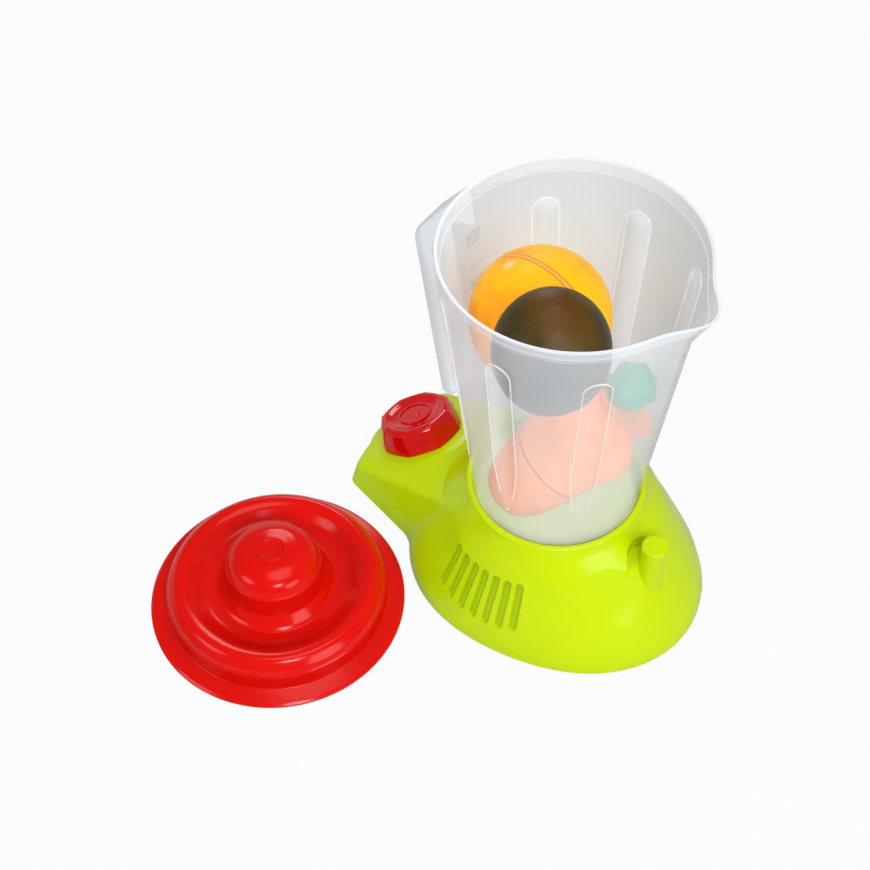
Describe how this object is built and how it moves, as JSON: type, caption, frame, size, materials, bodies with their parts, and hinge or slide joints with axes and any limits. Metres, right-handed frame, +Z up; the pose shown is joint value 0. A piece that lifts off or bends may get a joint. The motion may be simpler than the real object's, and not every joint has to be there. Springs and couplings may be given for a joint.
{
  "type": "toy blender",
  "caption": "Play kitchen blender: domed base with a clicking knob, lift-out spouted jug with a handle, stepped lid and play food.",
  "frame": {"origin": "underside of the bottom cover on the table, straight below the jug's axis", "axes": "+Z up along the jug and its socket; +Y towards the fat end of the base, under the spout; the knob's panel faces -Y; the lid lies on the +X side"},
  "size_m": [0.2402, 0.2213, 0.2086],
  "materials": {
    "base_lime": "glossy lime moulding",
    "cover_lime": "satin lime moulding",
    "screw_steel": "zinc plated",
    "knob_red": "glossy red moulding",
    "spindle_white": "satin",
    "spring_steel": "bright",
    "jug_frosted": "translucent frosted",
    "lid_red": "glossy red moulding",
    "orange_peel": "dimpled peel",
    "avocado_skin": "satin dark skin",
    "avocado_flesh": "satin",
    "avocado_stone": "satin",
    "carrot_orange": "satin",
    "leaf_green": "rough"
  },
  "bodies": {
    "base": {"base_housing": "base_lime", "bottom_cover": "cover_lime", "cover_screw_1": "screw_steel", "cover_screw_2": "screw_steel", "cover_screw_3": "screw_steel", "cover_screw_4": "screw_steel", "click_spring": "spring_steel", "click_spring_screw": "screw_steel"},
    "knob": {"knob_cap": "knob_red", "knob_shaft": "spindle_white", "click_wheel": "spindle_white", "knob_washer": "screw_steel", "knob_screw": "screw_steel"},
    "jug": {"jug": "jug_frosted"},
    "lid": {"lid": "lid_red"},
    "carrot": {"carrot_tip": "carrot_orange", "carrot_body": "carrot_orange", "carrot_leaves": "leaf_green"},
    "orange": {"orange_half_a": "orange_peel", "orange_half_b": "orange_peel"},
    "avocado": {"avocado_skin": "avocado_skin", "avocado_flesh": "avocado_flesh", "avocado_stone": "avocado_stone"}
  },
  "joints": [
    {"name": "knob_turn", "type": "hinge", "parent": "base", "child": "knob", "pos_m": [0, -0.0873, 0.0195], "axis": [0, -0.4067, 0.9135], "continuous": true},
    {"name": "jug_lift", "type": "slide", "parent": "base", "child": "jug", "axis": [0, 0, 1], "range_m": [0, 0.12]},
    {"name": "lid_lift", "type": "slide", "parent": "base", "child": "lid", "axis": [0, 0, 1], "range_m": [0, 0.15]},
    {"name": "carrot_lift", "type": "slide", "parent": "jug", "child": "carrot", "axis": [0, 0, 1], "range_m": [0, 0.17]},
    {"name": "orange_lift", "type": "slide", "parent": "carrot", "child": "orange", "axis": [0, 0, 1], "range_m": [0, 0.1]},
    {"name": "avocado_lift", "type": "slide", "parent": "orange", "child": "avocado", "axis": [0, 0, 1], "range_m": [0, 0.09]}
  ]
}
